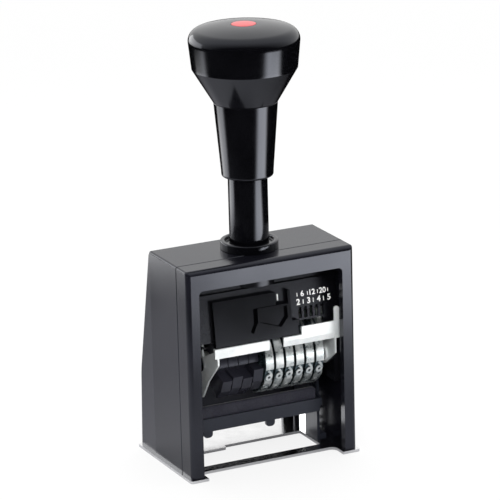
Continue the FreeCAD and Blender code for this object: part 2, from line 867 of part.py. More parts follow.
def carriage():
    reach = inner_half_w - carriage_gap
    behind = face_depth()
    front_low = lean_line(carriage_bottom, behind)
    front_high = lean_line(carriage_top, behind)
    block = slab([(front_low, carriage_bottom), (front_high, carriage_top),
                  (carriage_rear, carriage_top), (carriage_rear, carriage_bottom)], -reach, reach)
    for side in (-1, 1):
        near = side * (boss_r + carriage_wall)
        far = side * (reach - carriage_wall)
        pocket = box(min(near, far), max(near, far), front_high + carriage_wall,
                     carriage_rear - carriage_wall, carriage_bottom + carriage_floor,
                     carriage_top + over)
        block = block.cut(pocket)
        inner = side * (right_plate_x + sheet_t)
        cheek = [(cheek_front, cheek_bottom), (cheek_front, cheek_step),
                 (lean_line(cheek_step, behind), cheek_step), (front_low, carriage_bottom),
                 (carriage_rear, carriage_bottom), (carriage_rear, carriage_bottom - sheet_t),
                 (cheek_rear, cheek_knee), (cheek_rear, cheek_bottom)]
        block = block.fuse(slab(cheek, min(inner, side * reach), max(inner, side * reach)))
        lug_in = side * (reach - spring_lug_w)
        lug = box(min(lug_in, side * reach), max(lug_in, side * reach), carriage_rear,
                  carriage_rear + spring_lug_depth, carriage_bottom,
                  carriage_bottom + spring_lug_t)
        block = block.fuse(lug)
    stop = ceiling - collar_nut_t - stop_gap
    block = block.fuse(upright(boss_r, boss_bottom, stop))
    block = block.cut(upright(stem_r, stem_bottom, stop + over))
    block = block.cut(upright(rod_r, carriage_bottom - over, carriage_top))
    for x in (left_plate_x - flange_w / 2, bearing_screw_x()):
        block = block.cut(upright(frame_screw_r + running_gap, carriage_bottom - over,
                                  carriage_bottom - sheet_t + frame_screw_l + running_gap, x,
                                  plate_screw_y()))
    return block


def on_face(x0, x1, h0, h1, depth0, depth1):
    """A box on the selector's face, by height up the face and depth behind it."""
    return box(x0, x1, lean_y + depth0, lean_y + depth1, lean_z + h0, lean_z + h1)


def indicator_plate():
    front = selector_t + selector_gap
    plate = on_face(indicator_left, indicator_right, indicator_bottom, indicator_h, front,
                    front + indicator_t)
    top = lean_z + indicator_h
    plate = rounded(plate, indicator_round, lambda edge: edge.BoundBox.ZMin > top - running_gap
                    and edge.BoundBox.XLength < running_gap)
    for slot in range(slot_count):
        x = slot_first_x + slot * slot_pitch
        plate = plate.cut(on_face(x - slot_w / 2, x + slot_w / 2, slot_bottom,
                                  slot_bottom + slot_h, front - over, front + indicator_t + over))
    notch = on_face(notch_left, notch_right, indicator_bottom - over, notch_top, front - over,
                    front + indicator_t + over)
    return leaning(plate.cut(notch))


def pointer_tab():
    tab = on_face(pointer_x - pointer_w / 2, pointer_x + pointer_w / 2, pointer_bottom,
                  pointer_bottom + pointer_h, face_depth(), face_depth() + pointer_t)
    return leaning(tab)


def home_plate(left, right, depth0, depth1, inset=0):
    """A five-sided shape that points down, on the selector's face."""
    point = left + (right - left) * pocket_point_share
    outline = [(left + inset, pocket_top - inset), (left + inset, pocket_shoulder + inset / 2),
               (point, pocket_bottom + inset * 3 / 2), (right - inset, pocket_shoulder + inset),
               (right - inset, pocket_top - inset)]
    corners = [at(x, lean_y + depth0, lean_z + height) for x, height in outline]
    face = Part.Face(Part.makePolygon(corners + corners[:1]))
    return face.extrude(at(0, depth1 - depth0, 0))


def repeat_selector():
    block = on_face(selector_left, selector_right, 0, selector_h, 0, selector_t)
    foot = on_face(selector_left, selector_right + selector_foot_w, 0, selector_foot_h, 0,
                   selector_t)
    block = block.fuse(foot).removeSplitter()
    window_right = selector_right - selector_window_margin
    block = block.cut(on_face(window_right - selector_window_w, window_right,
                              selector_window_bottom, selector_h + over, -over,
                              selector_t + over))
    for left, right in ((pocket_left, pocket_right), (tab_left, tab_right)):
        block = block.cut(home_plate(left, right, -over, pocket_depth))
    return leaning(block)


def selector_tab():
    tab = home_plate(tab_left, tab_right, -tab_proud, pocket_depth)
    hollow = home_plate(tab_left, tab_right, -tab_proud - over, pocket_depth - tab_floor,
                        tab_wall)
    return leaning(tab.cut(hollow))


def ink_tray():
    rear = tray_front + tray_depth
    top = tray_bottom + tray_h
    tray = box(-tray_half_w, tray_half_w, tray_front, rear, tray_bottom, top)
    inner = tray_half_w - tray_wall
    tray = tray.cut(box(-inner, inner, tray_front + tray_wall, rear - tray_wall,
                        tray_bottom + tray_wall, top + over))
    for x in tray_lug_xs:
        lug_front = tray_front + tray_lug_back
        lug = box(x - tray_lug_w / 2, x + tray_lug_w / 2, lug_front, lug_front + tray_lug_t,
                  tray_bottom - tray_lug_drop, tray_bottom + tray_wall / 2)
        lug = rounded(lug, tray_lug_round, lambda edge: runs_along(edge, at(0, 1, 0))
                      and edge.BoundBox.ZMax < tray_bottom)
        tray = tray.fuse(lug)
    for side in (-1, 1):
        inside = side * tray_half_w
        outside = inside + side * tray_arm_t
        x0 = min(inside, outside)
        x1 = max(inside, outside)
        outline = [(tray_front + tray_arm_h / 2, tray_bottom),
                   (tray_front, tray_bottom + tray_arm_h / 2), (tray_front, top),
                   (tray_pivot_y, tray_pivot_z + tray_eye_r),
                   (tray_pivot_y + tray_eye_r * math.sin(lean),
                    tray_pivot_z - tray_eye_r * math.cos(lean)), (rear, tray_bottom)]
        arm = slab(outline, x0, x1).fuse(across(tray_eye_r, x0, x1, tray_pivot_y, tray_pivot_z))
        arm = arm.cut(across(pivot_r + running_gap, x0 - over, x1 + over, tray_pivot_y,
                             tray_pivot_z))
        tray = tray.fuse(arm)
    return tray


def ink_pad():
    front = tray_front + tray_wall + pad_gap
    rear = tray_front + tray_depth - tray_wall - pad_gap
    floor = tray_bottom + tray_wall
    outline = [(front, floor), (front, pad_top), (axle_y - pad_crest_reach, pad_top),
               (axle_y - pad_dip_reach, pad_top - pad_dip), (rear, pad_top - pad_rear_drop),
               (rear, floor)]
    inner = tray_half_w - tray_wall - pad_gap
    return slab(outline, -inner, inner)


def tray_bracket(side):
    inner = side * bracket_inner_x
    outer = side * bracket_outer_x
    cutout_top = base_t + bracket_cutout_h
    outline = [(bracket_front, base_t), (bracket_front, bracket_top - bracket_chamfer),
               (bracket_front + bracket_chamfer, bracket_top),
               (bracket_rear - bracket_chamfer, bracket_top),
               (bracket_rear, bracket_top - bracket_chamfer),
               (bracket_rear, cutout_top), (bracket_cutout_front, cutout_top),
               (bracket_cutout_front, base_t)]
    plate = slab(outline, min(inner, outer), max(inner, outer))
    foot_end = outer + side * bracket_foot_w
    foot = box(min(outer, foot_end), max(outer, foot_end), cheek_rear + sliding_gap + over,
               bracket_cutout_front, base_t, base_t + bracket_t)
    plate = plate.fuse(foot)
    return plate.cut(across(pivot_r, min(inner, outer) - over, max(inner, outer) + over,
                            tray_pivot_y, tray_pivot_z))


def tray_pivots():
    pins = []
    for side in (-1, 1):
        inner = side * tray_half_w
        outer = side * bracket_outer_x
        pins.append(across(pivot_r, min(inner, outer), max(inner, outer), tray_pivot_y,
                           tray_pivot_z))
    return Part.makeCompound(pins)


def ratchet_finger_x(index):
    """Middle of the ratchet ring's width, on the left of each wheel's rim."""
    return wheel_x(index) - rim_w / 2 - ratchet_w / 2


def index_comb():
    x0 = ratchet_finger_x(0) - finger_w
    x1 = bearing_x
    top = carriage_bottom
    comb = box(x0, x1, axle_y - comb_depth / 2, axle_y + comb_depth / 2, top - comb_t, top)
    bottom = axle_z + ratchet_r + tooth_gap
    for index in range(wheel_count):
        x = ratchet_finger_x(index)
        comb = comb.fuse(box(x - finger_w / 2, x + finger_w / 2, axle_y - comb_finger_depth / 2,
                             axle_y + comb_finger_depth / 2, bottom, top - comb_t))
    return comb


def pawl_bar(x0, x1):
    return across(pawl_shaft_r, x0, x1, pawl_shaft_y, pawl_shaft_z)


def pawl_shaft():
    return pawl_bar(left_plate_x, bearing_x + sheet_t)


def advance_pawl():
    left = ratchet_finger_x(0) - finger_w
    right = bearing_x - side_gap
    sleeve = across(pawl_sleeve_r, left, right, pawl_shaft_y, pawl_shaft_z)
    angle = math.radians(pawl_tip_angle)
    reach = ratchet_r + tooth_gap
    tip_y = axle_y + reach * math.cos(angle)
    tip_z = axle_z + reach * math.sin(angle)
    outline = [(tip_y, tip_z), (pawl_shaft_y - pawl_sleeve_r * math.cos(angle), pawl_shaft_z),
               (pawl_shaft_y + pawl_sleeve_r, pawl_shaft_z),
               (tip_y + pawl_finger_h, tip_z - pawl_finger_h * math.tan(lean))]
    for index in range(wheel_count):
        x = ratchet_finger_x(index)
        sleeve = sleeve.fuse(slab(outline, x - finger_w / 2, x + finger_w / 2))
    return sleeve.cut(pawl_bar(left - over, right + over)
                      .fuse(across(pawl_shaft_r + running_gap, left - over, right + over,
                                   pawl_shaft_y, pawl_shaft_z)))


def arc_between(start, end, start_way, end_way):
    """Two arcs that leave and arrive along the given directions, and meet smoothly."""
    chord = end - start
    both = start_way + end_way
    a = 2 * (1 - start_way.dot(end_way))
    b = 2 * chord.dot(both)
    c = -chord.dot(chord)
    reach = (-b + math.sqrt(b * b - 4 * a * c)) / (2 * a)
    first = start + start_way * reach
    second = end - end_way * reach
    joint = (first + second) * (1 / 2)
    return [one_arc(start, first, joint), one_arc(joint, second, end)]


def one_arc(start, corner, end):
    """The arc that touches both lines to the corner."""
    middle = (start + end) * (1 / 2)
    cosine = (middle - start).Length / (corner - start).Length
    top = middle + (corner - middle) * (cosine / (1 + cosine))
    return Part.Arc(start, top, end).toShape()


def return_spring(side):
    """One unbroken coil of round wire, standing on the base plate."""
    bottom = base_t + spring_wire / 2
    height = carriage_bottom - spring_wire - base_t
    rise = height / spring_turns
    slope = math.hypot(2 * math.pi * spring_mean_r, rise)

    def place(turn):
        angle = 2 * math.pi * turn
        return at(side * spring_x + spring_mean_r * math.cos(angle),
                  spring_y + spring_mean_r * math.sin(angle), bottom + rise * turn)

    def way(turn):
        angle = 2 * math.pi * turn
        round_share = 2 * math.pi * spring_mean_r / slope
        return at(-math.sin(angle) * round_share, math.cos(angle) * round_share, rise / slope)
    edges = []
    steps = spring_turns * 4
    for step in range(steps):
        turn = step / 4
        after = (step + 1) / 4
        edges += arc_between(place(turn), place(after), way(turn), way(after))
    spine = Part.Wire(edges)
    section = Part.Wire([Part.Circle(place(0), way(0), spring_wire / 2).toShape()])
    pipe = Part.BRepOffsetAPI.MakePipeShell(spine)
    pipe.add(section)
    pipe.build()
    pipe.makeSolid()
    coil = pipe.shape()
    wanted = math.pi * (spring_wire / 2) ** 2 * slope * spring_turns
    print("spring gap", round(rise - spring_wire, 2), "volume ratio", round(coil.Volume / wanted, 4))
    return coil


def main():
    os.makedirs("parts", exist_ok=True)
    save("front_frame", front_frame())
    save("rear_housing", rear_housing())
    save("rear_cover", rear_cover())
    save("base_plate", base_plate())
    save("base_screws", base_screws())
    save("guide_collar", guide_collar())
    save("collar_nut", collar_nut())
    save("left_tray_bracket", tray_bracket(-1))
    save("right_tray_bracket", tray_bracket(1))
    save("tray_pivots", tray_pivots())
    save("left_return_spring", return_spring(-1))
    save("right_return_spring", return_spring(1))
    save("stem_tube", stem_tube())
    save("grip_sleeve", grip_sleeve())
    save("knob_head", knob_head())
    save("knob_insert", knob_insert())
    save("tie_rod", tie_rod())
    save("rod_nut", rod_nut())
    save("carriage", carriage())
    save("left_frame_plate", left_frame_plate())
    save("right_frame_plate", right_frame_plate())
    save("bearing_plate", bearing_plate())
    save("frame_screws", frame_screws())
    save("wheel_axle", wheel_axle())
    save("axle_spacer", axle_spacer())
    save("key_rod", key_rod())
    for index in range(blank_count):
        save("blank_disc_" + str(index + 1), blank_disc(index))
    for index in range(wheel_count):
        save("number_wheel_" + str(index + 1), number_wheel(index))
    save("indicator_plate", indicator_plate())
    save("pointer_tab", pointer_tab())
    save("index_comb", index_comb())
    save("pawl_shaft", pawl_shaft())
    save("advance_pawl", advance_pawl())
    save("repeat_selector", repeat_selector())
    save("selector_tab", selector_tab())
    save("ink_tray", ink_tray())
    save("ink_pad", ink_pad())


main()
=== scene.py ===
import math

import bmesh
import bpy
from mathutils import Matrix, Vector


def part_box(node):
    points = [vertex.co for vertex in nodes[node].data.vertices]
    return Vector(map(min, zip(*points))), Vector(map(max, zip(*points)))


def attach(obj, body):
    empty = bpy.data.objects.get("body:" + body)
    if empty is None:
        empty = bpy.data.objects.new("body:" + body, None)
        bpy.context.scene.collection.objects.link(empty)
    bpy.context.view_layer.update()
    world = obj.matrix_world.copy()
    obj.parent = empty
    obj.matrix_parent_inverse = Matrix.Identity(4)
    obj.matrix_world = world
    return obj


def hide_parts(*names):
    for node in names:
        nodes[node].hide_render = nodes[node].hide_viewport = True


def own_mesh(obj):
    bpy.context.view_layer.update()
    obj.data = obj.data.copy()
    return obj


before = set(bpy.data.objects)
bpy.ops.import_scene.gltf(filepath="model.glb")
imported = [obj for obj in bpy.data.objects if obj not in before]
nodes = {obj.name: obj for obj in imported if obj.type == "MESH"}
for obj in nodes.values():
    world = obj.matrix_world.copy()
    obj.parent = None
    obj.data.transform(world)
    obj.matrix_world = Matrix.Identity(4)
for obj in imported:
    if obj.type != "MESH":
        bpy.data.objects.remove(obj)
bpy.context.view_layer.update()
MM = 0.001

# Sizes and places in millimetres: x from the middle, y from the housing's front, z from the floor
CENTRE_Y = 25.1
HOUSING_TOP = 92.7

# Collar and stem, upright on the handle's axis
HANDLE_Y = 20.3
STEM_R = 8.4
STEM_WALL = 1.4
STEM_FOOT = 79.0
STEM_TOP = 136.0
STEM_ROUND = 0.4
COLLAR_R = 12.4
COLLAR_FOOT_ROUND = 0.3
COLLAR_TOP = 96.4
COLLAR_TOP_ROUND = 0.7
COLLAR_GAP = 0.1
COLLAR_LIP_R = 10.6
COLLAR_LIP_ROUND = 0.4
COLLAR_DISH_R = 10.2
COLLAR_DISH_DEPTH = 1.5
COLLAR_DISH_ROUND = 0.3
COLLAR_SPIGOT_R = 9.5
COLLAR_SPIGOT_LENGTH = 2.5
COLLAR_SPIGOT_ROUND = 0.1

# Grip, knob and button; the knob's places are (radius, z), the button's crown (radius, z, round)
ROD_HOLE_R = 3.05
ROD_HOLE_TOP = 163.4
GRIP_FOOT = 124.4
GRIP_TOP = 156.6
GRIP_GAP = 0.02
GRIP_FOOT_R = 11.0
GRIP_FOOT_ROUND = 2.4
GRIP_BAND_R = 11.1
GRIP_BAND_H = 2.6
GRIP_RIM_R = 13.55
GRIP_RIM_DROP = 0.2
GRIP_TOP_R = 13.4
KNOB_FOOT = (13.65, GRIP_TOP + 0.1)
KNOB_CONE_FOOT = (13.8, GRIP_TOP + 0.3)
KNOB_CONE_TOP = (22.3, 171.1)
KNOB_CONE_ROUND = 0.5
KNOB_BAND_FOOT = (22.44, 172.5)
KNOB_BAND_RINGS = [(22.94, 177.4), (23.39, 181.8)]
KNOB_BAND_TOP = (23.48, 182.7)
KNOB_SHOULDER = (22.38, 186.0)
KNOB_CROWN_RIM = (19.5, 187.8)
KNOB_CROWN = (12.35, 189.13)
KNOB_CROWN_EDGE = (5.4, 189.66)
BUTTON_HOLE_R = 5.28
BUTTON_HOLE_EDGE = 189.55
BUTTON_FLOOR = 188.3
BUTTON_R = 5.2
BUTTON_RIM = 189.7
BUTTON_RIM_ROUND = 0.15
BUTTON_CROWN = [(4.2, 189.84, 1), (2.2, 189.96, 2), (0.0, 190.0, 0)]

# Number wheels
AXLE_Y = 21.7
AXLE_Z = 44.2
WHEEL_R = 16.3
WHEEL_PITCH = 4.8
WHEEL_COUNT = 6
FIRST_WHEEL_X = 1.1
BLANK_COUNT = 4
DIGIT_COUNT = 10
DIGIT_DEPTH = 0.7
DIGIT_SEAT = 0.05
DIGIT_H = 5.2
DIGIT_NARROWING = 0.9
PLAIN_PLACE = 3
INK_EDGE = 0.12
INK_END = 0.3

# Leaning face and its scale
LEAN = math.radians(7.6)
LEAN_Y = 6.8
LEAN_Z = 55.0
PLATE_DEPTH = 2.3
FIGURE_PROUD = 0.06
LOW_FIGURES = (("2", 17.8), ("3", 22.8), ("4", 27.6), ("5", 32.5))
HIGH_FIGURES = (("6", 20.0), ("12", 24.8), ("20", 29.7))
FIRST_FIGURE_X = 8.2

# Return springs
SPRING_X = 34.6
SPRING_Y = 34.6
SPRING_WIRE = 0.6
SPRING_MEAN_R = 1.5
SPRING_TURNS = 15
SPRING_DEAD_TURNS = 1.0
SPRING_DEAD_PITCH = SPRING_WIRE + 0.05
SPRING_FOOT = 1.2
SPRING_HEAD = 64.2

# Base screws
SCREW_PLACES = ((36.4, 1.7), (34.4, 45.85))
SCREW_FACE = 0.02
SCREW_HEAD_R = 2.15
SCREW_NECK_R = 1.2
SCREW_NECK = 1.2
SCREW_TIP_R = 1.15
SCREW_TIP = 6.9
CROSS_HALF_W = 0.34
CROSS_REACH = 1.33
CROSS_TAPER = 0.7
CROSS_FLOOR = 0.8

# Felt pad: its outline in y and z, and how its top sinks and waves
PAD_OUTLINE = [(14.6, 17.5), (14.6, 26.4), (15.0, 26.8), (15.9, 26.9), (16.8, 26.8), (18.4, 26.1),
               (20.1, 25.15), (22.0, 24.4), (23.8, 23.8), (24.4, 23.4), (24.4, 17.5)]
PAD_COLUMNS = 90
PAD_SIDE_GAP = 0.1
PAD_END_SINK = 0.35
PAD_END_FALL = 1.2
PAD_SINK = 0.05
PAD_WAVE = 0.05
PAD_WAVE_TURN = 0.9
PAD_RIPPLE = 0.04
PAD_RIPPLE_TURN = 2.3

# Camera, with its target in millimetres and its distance in metres
AZIMUTH = math.radians(-25.86)
ELEVATION = math.radians(16.9)
ROLL = math.radians(-1.49)
AWAY = (-math.sin(AZIMUTH), math.cos(AZIMUTH), 0)
ACROSS = (math.cos(AZIMUTH), math.sin(AZIMUTH), 0)
CAMERA_TARGET = (-9.01, 1.2, 97.82)
CAMERA_DISTANCE = 1.379
CAMERA_LENS = 238.1
CAMERA_SENSOR = 36

# Floor and sky, in metres from the middle of the object
FLOOR_HALF = 3.0
FLOOR_CENTRE = (-0.05, 0.06, 0)
MIRRORED_FADE = (0.14, 0.29)
BEHIND_FADE = (-0.05, 0.06)
WHITE_SHARE = (0.82, 1.0)
WHITE_FADE = (0.25, 0.9)
PANEL_FADE = (0.42, 0.52)
SKY_HEIGHT = math.radians(40)
DOME_LEVEL = (0.02, 1.0)
DOME_FADE = (-0.35, 0.45)


def row(x, y, z):
    """A place in millimetres, as a point of the frame in metres."""
    return Vector((x * MM, (y - CENTRE_Y) * MM, z * MM))


# Materials

def material(name):
    """An empty material with its shader."""
    made = bpy.data.materials.new(name)
    made.use_nodes = True
    tree = made.node_tree
    tree.nodes.clear()
    out = tree.nodes.new("ShaderNodeOutputMaterial")
    shader = tree.nodes.new("ShaderNodeBsdfPrincipled")
    tree.links.new(shader.outputs["BSDF"], out.inputs["Surface"])
    return made, tree, shader


def add(tree, kind, **inputs):
    """A node with some of its inputs set."""
    node = tree.nodes.new(kind)
    for name, value in inputs.items():
        node.inputs[name].default_value = value
    return node


def coordinates(tree, scale=(1, 1, 1)):
    """Object coordinates, stretched by a scale along each axis."""
    place = tree.nodes.new("ShaderNodeTexCoord")
    mapping = tree.nodes.new("ShaderNodeMapping")
    mapping.inputs["Scale"].default_value = scale
    tree.links.new(place.outputs["Object"], mapping.inputs["Vector"])
    return mapping.outputs["Vector"]


def noise(tree, vector, scale, detail):
    """Noise over the given coordinates, from 0 to 1."""
    node = add(tree, "ShaderNodeTexNoise", Scale=scale, Detail=detail)
    tree.links.new(vector, node.inputs["Vector"])
    return node.outputs["Fac"]


def ranged(tree, value, low, high, start=0.3, end=0.7):
    """A value that goes from low to high while the input goes from start to end."""
    node = add(tree, "ShaderNodeMapRange")
    for slot, number in zip(("From Min", "From Max", "To Min", "To Max"), (start, end, low, high)):
        node.inputs[slot].default_value = number
    tree.links.new(value, node.inputs["Value"])
    return node.outputs["Result"]


def blended(tree, factor, first, second):
    """A blend of two colours, each a constant or another node's output."""
    node = tree.nodes.new("ShaderNodeMix")
    node.data_type = "RGBA"
    tree.links.new(factor, node.inputs["Factor"])
    for slot, colour in ((6, first), (7, second)):
        if isinstance(colour, tuple):
            node.inputs[slot].default_value = (*colour, 1)
        else:
            tree.links.new(colour, node.inputs[slot])
    return node.outputs[2]


def bumped(tree, shader, height, strength, distance):
    """A fine relief on the shader, from a height."""
    node = add(tree, "ShaderNodeBump", Strength=strength, Distance=distance)
    tree.links.new(height, node.inputs["Height"])
    tree.links.new(node.outputs["Normal"], shader.inputs["Normal"])


def plastic(name, dark, light, rough, grain, depth, coat=0.0):
    """Moulded plastic: a fine grain, faint patches of handling and a slightly uneven gloss."""
    made, tree, shader = material(name)
    even = coordinates(tree)
    patches = noise(tree, even, scale=45, detail=5)
    fine = noise(tree, even, scale=grain, detail=3)
    tree.links.new(blended(tree, ranged(tree, patches, 0, 1), dark, light),
                   shader.inputs["Base Color"])
    tree.links.new(ranged(tree, patches, rough * 0.85, rough * 1.2), shader.inputs["Roughness"])
    bumped(tree, shader, fine, 0.35, depth)
    shader.inputs["Coat Weight"].default_value = coat
    shader.inputs["Coat Roughness"].default_value = rough / 3
    shader.inputs["IOR"].default_value = 1.5
    shader.inputs["Specular Tint"].default_value = (0.84, 0.88, 1.0, 1)
    return made


def metal(name, colour, shade, rough, stretch, metallic=1.0):
    """Plated or drawn metal, with grain along one way and cloudy patches in the plating."""
    made, tree, shader = material(name)
    lines = noise(tree, coordinates(tree, stretch), scale=900, detail=6)
    clouds = noise(tree, coordinates(tree), scale=160, detail=5)
    tree.links.new(blended(tree, ranged(tree, clouds, 0, 1), shade, colour),
                   shader.inputs["Base Color"])
    tree.links.new(ranged(tree, lines, rough * 0.7, rough * 1.4), shader.inputs["Roughness"])
    bumped(tree, shader, lines, 0.25, 0.02 * MM)
    shader.inputs["Metallic"].default_value = metallic
    return made


def inked_wheel(name):
    """Plated wheel metal, bright on the lands and digits and dark with ink where it is cut back."""
    made, tree, shader = material(name)
    place = tree.nodes.new("ShaderNodeTexCoord")
    axis = tree.nodes.new("ShaderNodeVectorMath")
    axis.operation = "SUBTRACT"
    axis.inputs[1].default_value = row(0, AXLE_Y, AXLE_Z)
    flat = tree.nodes.new("ShaderNodeVectorMath")
    flat.operation = "MULTIPLY"
    flat.inputs[1].default_value = (0, 1, 1)
    length = tree.nodes.new("ShaderNodeVectorMath")
    length.operation = "LENGTH"
    tree.links.new(place.outputs["Object"], axis.inputs[0])
    tree.links.new(axis.outputs["Vector"], flat.inputs[0])
    tree.links.new(flat.outputs["Vector"], length.inputs[0])
    floor_r = WHEEL_R - DIGIT_DEPTH
    raised = ranged(tree, length.outputs["Value"], 0, 1, (floor_r + INK_EDGE) * MM,
                    (floor_r + INK_END) * MM)
    even = coordinates(tree)
    clouds = noise(tree, even, scale=420, detail=6)
    bright = blended(tree, ranged(tree, clouds, 0, 1), (0.42, 0.48, 0.49), (0.82, 0.84, 0.83))
    dark = blended(tree, ranged(tree, clouds, 0, 1), (0.02, 0.03, 0.035), (0.13, 0.18, 0.20))
    tree.links.new(blended(tree, raised, dark, bright), shader.inputs["Base Color"])
    tree.links.new(ranged(tree, clouds, 0.22, 0.42), shader.inputs["Roughness"])
    scratches = noise(tree, coordinates(tree, (1, 6, 6)), scale=700, detail=5)
    bumped(tree, shader, scratches, 0.3, 0.02 * MM)
    shader.inputs["Metallic"].default_value = 0.9
    return made


def felt(name, dark, light):
    """Ink-soaked felt: fine fibres, with wetter and drier patches."""
    made, tree, shader = material(name)
    even = coordinates(tree)
    fibres = noise(tree, even, scale=2600, detail=8)
    wet = noise(tree, even, scale=90, detail=4)
    tree.links.new(blended(tree, ranged(tree, fibres, 0, 1), dark, light),
                   shader.inputs["Base Color"])
    tree.links.new(ranged(tree, wet, 0.45, 0.85), shader.inputs["Roughness"])
    bumped(tree, shader, fibres, 0.9, 0.15 * MM)
    shader.inputs["Sheen Weight"].default_value = 0.15
    return made


housing_black = plastic("housing_black", dark=(0.004, 0.004, 0.006), light=(0.008, 0.008, 0.012),
                        rough=0.19, grain=2400, depth=0.02 * MM)
# A lighter copy of the housing's black for the rear cover: painted lightness standing in for the
# brighter reflection on the cover's side
cover_black_painted_lighter = plastic("cover_black_painted_lighter", dark=(0.018, 0.018, 0.023), light=(0.026, 0.026, 0.032),
                      rough=0.22, grain=2400, depth=0.02 * MM)
handle_black = plastic("handle_black", dark=(0.001, 0.001, 0.0015), light=(0.003, 0.003, 0.004),
                       rough=0.13, grain=500, depth=0.01 * MM)
carriage_black = plastic("carriage_black", dark=(0.002, 0.002, 0.003), light=(0.005, 0.005, 0.006),
                         rough=0.24, grain=3200, depth=0.03 * MM)
selector_black = plastic("selector_black", dark=(0.001, 0.001, 0.001), light=(0.002, 0.002, 0.003),
                         rough=0.16, grain=3200, depth=0.02 * MM)
disc_black = plastic("disc_black", dark=(0.008, 0.008, 0.012), light=(0.020, 0.020, 0.028),
                     rough=0.30, grain=2800, depth=0.03 * MM)
tray_black = plastic("tray_black", dark=(0.008, 0.009, 0.013), light=(0.018, 0.020, 0.028),
                     rough=0.36, grain=2600, depth=0.03 * MM)
button_red = plastic("button_red", dark=(0.60, 0.045, 0.050), light=(0.72, 0.075, 0.080),
                     rough=0.30, grain=900, depth=0.01 * MM, coat=0.3)
numeral_white = plastic("numeral_white", dark=(0.80, 0.80, 0.79), light=(0.92, 0.92, 0.91),
                        rough=0.5, grain=3000, depth=0.01 * MM)
nickel = metal("nickel", (0.93, 0.93, 0.93), (0.84, 0.84, 0.84), rough=0.17, stretch=(3, 60, 60))
zinc = metal("zinc", (0.68, 0.69, 0.64), (0.52, 0.55, 0.54), rough=0.28, stretch=(4, 50, 50),
             metallic=0.85)
# A lighter, partly diffuse copy of zinc for the frame plates: painted highlight standing in for the
# reflection a bent flange would catch
plate_zinc_painted_bright = metal("plate_zinc_painted_bright", (0.90, 0.92, 0.91), (0.74, 0.78, 0.79), rough=0.36,
                   stretch=(4, 50, 50), metallic=0.4)
steel = metal("steel", (0.70, 0.70, 0.71), (0.52, 0.52, 0.54), rough=0.22, stretch=(50, 50, 4))
wire_steel = metal("wire_steel", (0.62, 0.62, 0.63), (0.40, 0.40, 0.42), rough=0.25,
                   stretch=(20, 20, 20))
wheel_metal = inked_wheel("wheel_metal")
pad_felt = felt("pad_felt", dark=(0.006, 0.006, 0.010), light=(0.030, 0.030, 0.045))


# Shapes

def painted(piece, look):
    """Give a CAD piece its material."""
    piece.data.materials.clear()
    piece.data.materials.append(look)


def softened(piece, width):
    """A small round along the sharp edges, in millimetres."""
    bevel = piece.modifiers.new("edges", "BEVEL")
    bevel.width = width * MM
    bevel.segments = 2
    bevel.limit_method = "ANGLE"
    bevel.angle_limit = math.radians(30)
    bevel.harden_normals = False
    bevel.use_clamp_overlap = True


def finished(name, mesh, look, body, stands_for=()):
    """A new piece in place, with its finish, on its body."""
    piece = bpy.data.objects.new(name, mesh)
    bpy.context.scene.collection.objects.link(piece)
    mesh.materials.append(look)
    if stands_for:
        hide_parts(*stands_for)
    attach(piece, body)
    return piece


def joined(name, meshes, look, body, stands_for=()):
    """Several meshes as one new piece."""
    shape = bmesh.new()
    for mesh in meshes:
        shape.from_mesh(mesh)
        bpy.data.meshes.remove(mesh)
    whole = bpy.data.meshes.new(name)
    shape.to_mesh(whole)
    shape.free()
    finished(name, whole, look, body, stands_for)


def mesh_of(build):
    """A mesh from a function that fills a bmesh."""
    shape = bmesh.new()
    build(shape)
    bmesh.ops.recalc_face_normals(shape, faces=shape.faces)
    mesh = bpy.data.meshes.new("shape")
    shape.to_mesh(mesh)
    shape.free()
    return mesh


def smoothed(mesh, angle=35):
    """Smooth shading, apart from edges sharper than an angle in degrees."""
    for face in mesh.polygons:
        face.use_smooth = True
    mesh.set_sharp_from_angle(angle=math.radians(angle))
    return mesh


def ring_at(shape, radius, z, segments, x=0.0, y=HANDLE_Y):
    """A level ring of new corners about an upright axis."""
    turn = [2 * math.pi * step / segments for step in range(segments)]
    return [shape.verts.new(row(x + radius * math.cos(a), y + radius * math.sin(a), z)) for a in turn]


def walled(shape, low, high):
    """A closed wall of four-sided faces between two rings."""
    for step in range(len(low)):
        after = (step + 1) % len(low)
        shape.faces.new([low[step], low[after], high[after], high[step]])


def lathed(profile, segments=160):
    """A solid of revolution about the handle's axis, from (radius, z) points in millimetres."""
    def build(shape):
        rings = []
        for radius, z in profile:
            if radius:
                rings.append(ring_at(shape, radius, z, segments))
            else:
                rings.append([shape.verts.new(row(0, HANDLE_Y, z))])
        loops = list(zip(rings, rings[1:]))
        if len(rings[0]) > 1 and len(rings[-1]) > 1:
            loops.append((rings[-1], rings[0]))
        for low, high in loops:
            for step in range(segments):
                after = (step + 1) % segments
                corners = [low[step % len(low)], low[after % len(low)],
                           high[after % len(high)], high[step % len(high)]]
                unique = list(dict.fromkeys(corners))
                if len(unique) > 2:
                    shape.faces.new(unique)
    return smoothed(mesh_of(build))


def rounded_profile(corners, steps=5):
    """A profile from (radius, z, round) corners, each corner with a round of its own."""
    made = []
    for index, (radius, z, corner_round) in enumerate(corners):
        if not corner_round:
            made.append((radius, z))
            continue
        here = Vector((radius, z))
        back = Vector(corners[index - 1][:2]) - here
        ahead = Vector(corners[index + 1][:2]) - here
        half = back.angle(ahead) / 2
        reach = min(corner_round / math.tan(half), back.length * 0.48, ahead.length * 0.48)
        start = here + back.normalized() * reach
        end = here + ahead.normalized() * reach
        for step in range(steps + 1):
            share = step / steps
            made.append(tuple(start * (1 - share) ** 2 + here * 2 * share * (1 - share)
                              + end * share ** 2))
    return made


